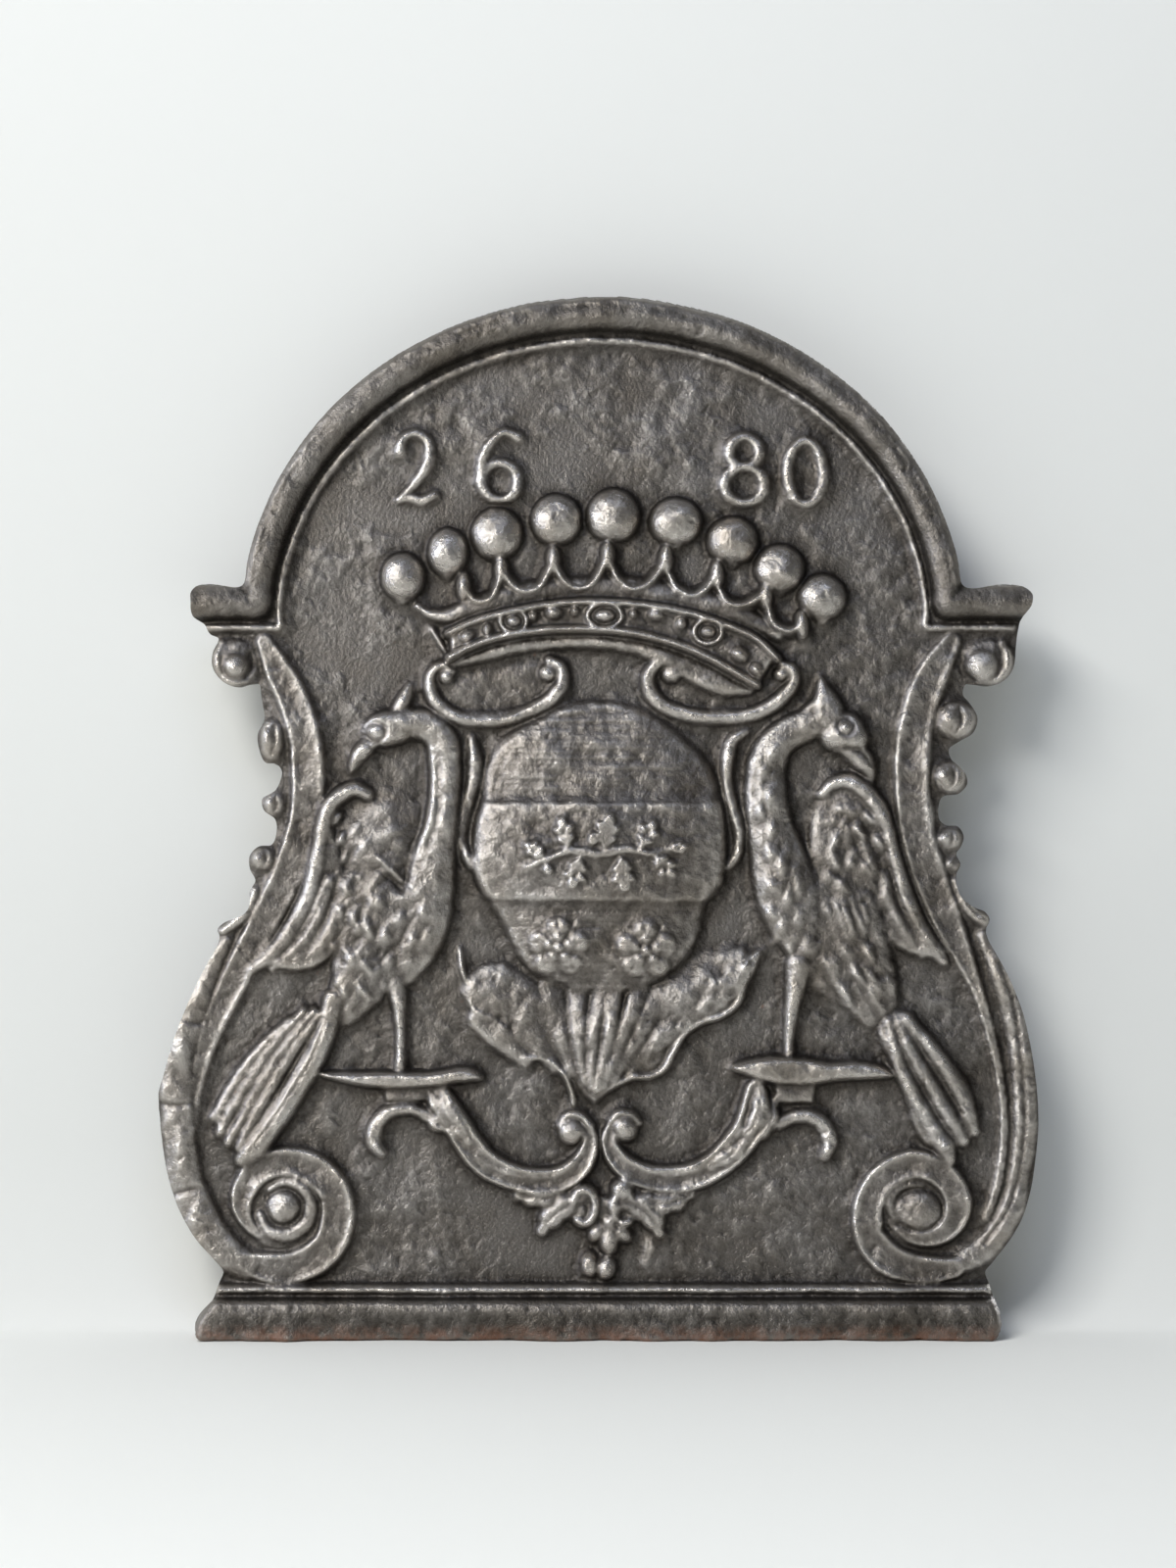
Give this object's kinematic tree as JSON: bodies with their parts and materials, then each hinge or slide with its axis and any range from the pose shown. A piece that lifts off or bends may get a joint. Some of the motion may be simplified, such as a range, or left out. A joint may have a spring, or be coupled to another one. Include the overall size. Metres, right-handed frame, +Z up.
{
  "type": "fireback",
  "caption": "Cast-iron fireback with an arched head, bird supporters round an oval shield, coronet, scrolled sides and a plinth foot.",
  "frame": {"origin": "middle of the foot on the hearth plane, half-way through the overall thickness", "axes": "+Z up, relief faces -Y, flat back faces +Y, +X to the viewer's right"},
  "size_m": [0.664, 0.045, 0.7846],
  "materials": {
    "board_iron": "sand-cast, blackened",
    "relief_iron": "sand-cast, black-leaded",
    "rubbed_iron": "black-leaded, rubbed bright on the high points"
  },
  "bodies": {
    "root": {"back_plate": "board_iron", "pearl_1": "rubbed_iron", "pearl_2": "rubbed_iron", "pearl_3": "rubbed_iron", "pearl_4": "rubbed_iron", "pearl_5": "rubbed_iron", "pearl_6": "rubbed_iron", "pearl_7": "rubbed_iron", "pearl_8": "rubbed_iron", "pearl_9": "rubbed_iron", "numeral_1": "rubbed_iron", "numeral_2": "rubbed_iron", "numeral_3": "rubbed_iron", "numeral_4": "rubbed_iron", "arch_moulding": "relief_iron", "arch_fillet": "rubbed_iron", "plinth": "relief_iron", "plinth_rail": "relief_iron", "coronet_band": "relief_iron", "shield": "relief_iron", "left_perch": "relief_iron", "right_perch": "relief_iron", "left_bird": "relief_iron", "right_bird": "relief_iron", "left_bracket": "relief_iron", "right_bracket": "relief_iron", "left_volute": "relief_iron", "right_volute": "relief_iron", "left_shoulder_scroll": "rubbed_iron", "right_shoulder_scroll": "rubbed_iron", "left_strip": "relief_iron", "right_strip": "relief_iron", "left_outer_leaf": "relief_iron", "right_outer_leaf": "relief_iron", "left_husk_1": "relief_iron", "left_husk_2": "relief_iron", "left_husk_3": "relief_iron", "left_sprig": "relief_iron", "right_husk_1": "relief_iron", "right_husk_2": "relief_iron", "right_husk_3": "relief_iron", "right_husk_4": "relief_iron", "right_sprig": "relief_iron", "coronet_arcade": "relief_iron", "left_strap_scroll": "relief_iron", "right_strap_scroll": "relief_iron", "left_shield_scroll": "relief_iron", "right_shield_scroll": "relief_iron", "shell": "relief_iron", "pendant": "relief_iron", "cross_band": "relief_iron", "oak_branch": "rubbed_iron", "left_rose": "rubbed_iron", "right_rose": "rubbed_iron"}
  },
  "joints": []
}
